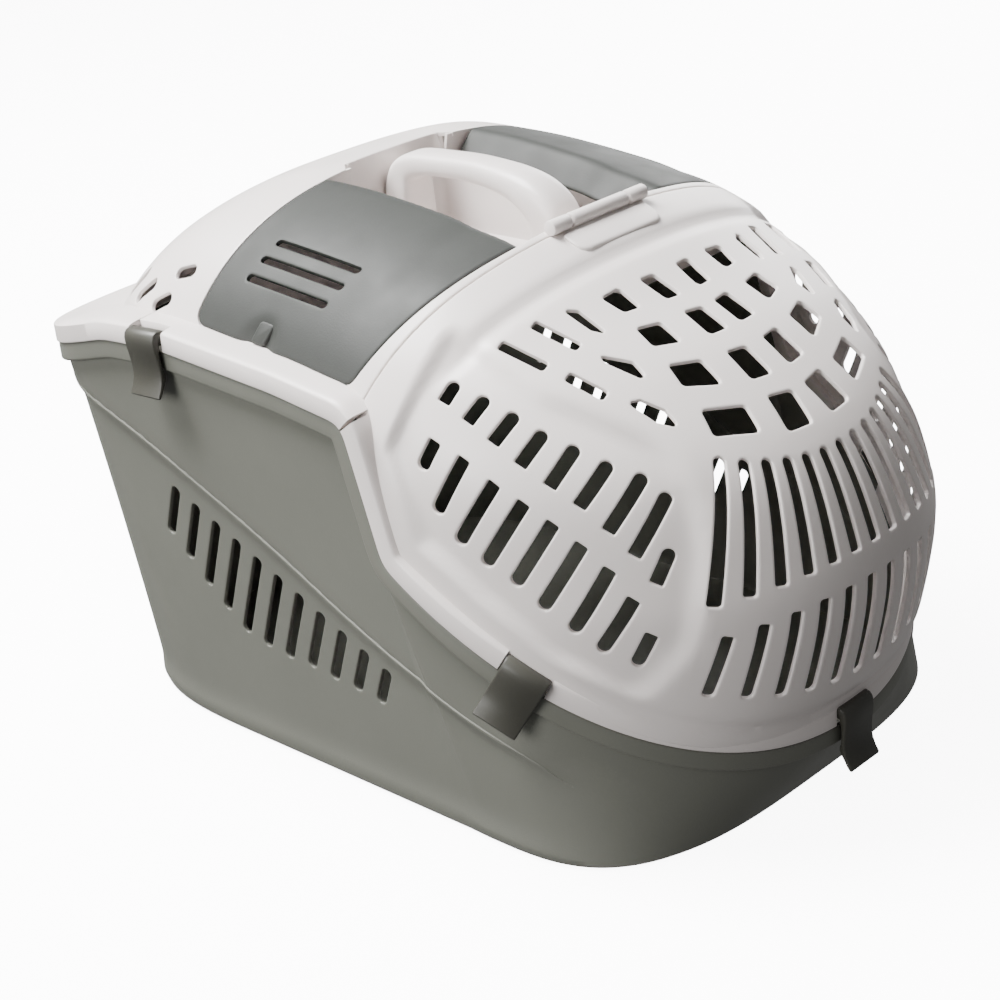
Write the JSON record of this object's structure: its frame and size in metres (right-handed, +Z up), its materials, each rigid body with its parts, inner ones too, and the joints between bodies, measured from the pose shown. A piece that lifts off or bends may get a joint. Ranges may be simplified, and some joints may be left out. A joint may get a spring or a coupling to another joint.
{
  "type": "pet transport carrier",
  "caption": "Hard-shell pet carrier with a deep tub, a domed cover with storage lids and trays, a grille front door hinged at the top, side clips and a carrying handle.",
  "frame": {"origin": "under the middle of the whole carrier's bounding box, on the plane its foot stands on", "axes": "+Z up, -Y towards the front door, X across the width"},
  "size_m": [0.3596, 0.511, 0.324],
  "materials": {
    "sage_plastic": "fine satin grain, grey-green",
    "cream_plastic": "smooth off-white, soft gloss",
    "olive_plastic": "satin, dark grey-green",
    "pin_steel": "plain drawn wire"
  },
  "bodies": {
    "tub": {"base_tub": "sage_plastic"},
    "cover": {"top_cover": "cream_plastic", "storage_tray_left": "cream_plastic", "storage_tray_right": "cream_plastic", "carry_handle": "cream_plastic", "handle_screw_front": "pin_steel", "handle_screw_rear": "pin_steel", "lid_pin_left_front": "pin_steel", "lid_pin_left_rear": "pin_steel", "lid_pin_right_front": "pin_steel", "lid_pin_right_rear": "pin_steel", "door_hinge_pin": "pin_steel", "clip_pin_rear_left": "pin_steel", "clip_pin_rear_right": "pin_steel"},
    "door": {"front_door": "cream_plastic", "clip_pin_front_left": "pin_steel", "clip_pin_front_right": "pin_steel", "clip_pin_front_centre": "pin_steel"},
    "lid_left": {"storage_lid_left": "sage_plastic"},
    "lid_right": {"storage_lid_right": "sage_plastic"},
    "clip_front_left": {"clip_front_left": "olive_plastic"},
    "clip_front_right": {"clip_front_right": "olive_plastic"},
    "clip_front_centre": {"clip_front_centre": "olive_plastic"},
    "clip_rear_left": {"clip_rear_left": "olive_plastic"},
    "clip_rear_right": {"clip_rear_right": "olive_plastic"}
  },
  "joints": [
    {"name": "cover_lift", "type": "slide", "parent": "tub", "child": "cover", "axis": [0, 0, 1], "range_m": [0, 0.15]},
    {"name": "door_hinge", "type": "hinge", "parent": "cover", "child": "door", "pos_m": [0, -0.0785, 0.3045], "axis": [-1, 0, 0], "range_deg": [0, 95]},
    {"name": "lid_left_hinge", "type": "hinge", "parent": "cover", "child": "lid_left", "pos_m": [-0.0455, -0.0555, 0.28793], "axis": [0, 0.9933, 0.1154], "range_deg": [0, 95]},
    {"name": "lid_right_hinge", "type": "hinge", "parent": "cover", "child": "lid_right", "pos_m": [0.0455, -0.0555, 0.28793], "axis": [0, -0.9933, -0.1154], "range_deg": [0, 95]},
    {"name": "clip_front_left_pivot", "type": "hinge", "parent": "door", "child": "clip_front_left", "pos_m": [-0.15145, -0.14506, 0.11352], "axis": [-0.3504, 0.7606, 0.5466], "range_deg": [0, 80]},
    {"name": "clip_front_right_pivot", "type": "hinge", "parent": "door", "child": "clip_front_right", "pos_m": [0.15145, -0.14506, 0.11352], "axis": [-0.3504, -0.7606, -0.5466], "range_deg": [0, 80]},
    {"name": "clip_front_centre_pivot", "type": "hinge", "parent": "door", "child": "clip_front_centre", "pos_m": [0, -0.2309, 0.05087], "axis": [-1, 0, 0], "range_deg": [0, 80]},
    {"name": "clip_rear_left_pivot", "type": "hinge", "parent": "cover", "child": "clip_rear_left", "pos_m": [-0.1684, 0.10799, 0.25556], "axis": [0, 0.9981, -0.0611], "range_deg": [0, 80]},
    {"name": "clip_rear_right_pivot", "type": "hinge", "parent": "cover", "child": "clip_rear_right", "pos_m": [0.1684, 0.10799, 0.25556], "axis": [0, -0.9981, 0.0611], "range_deg": [0, 80]}
  ]
}
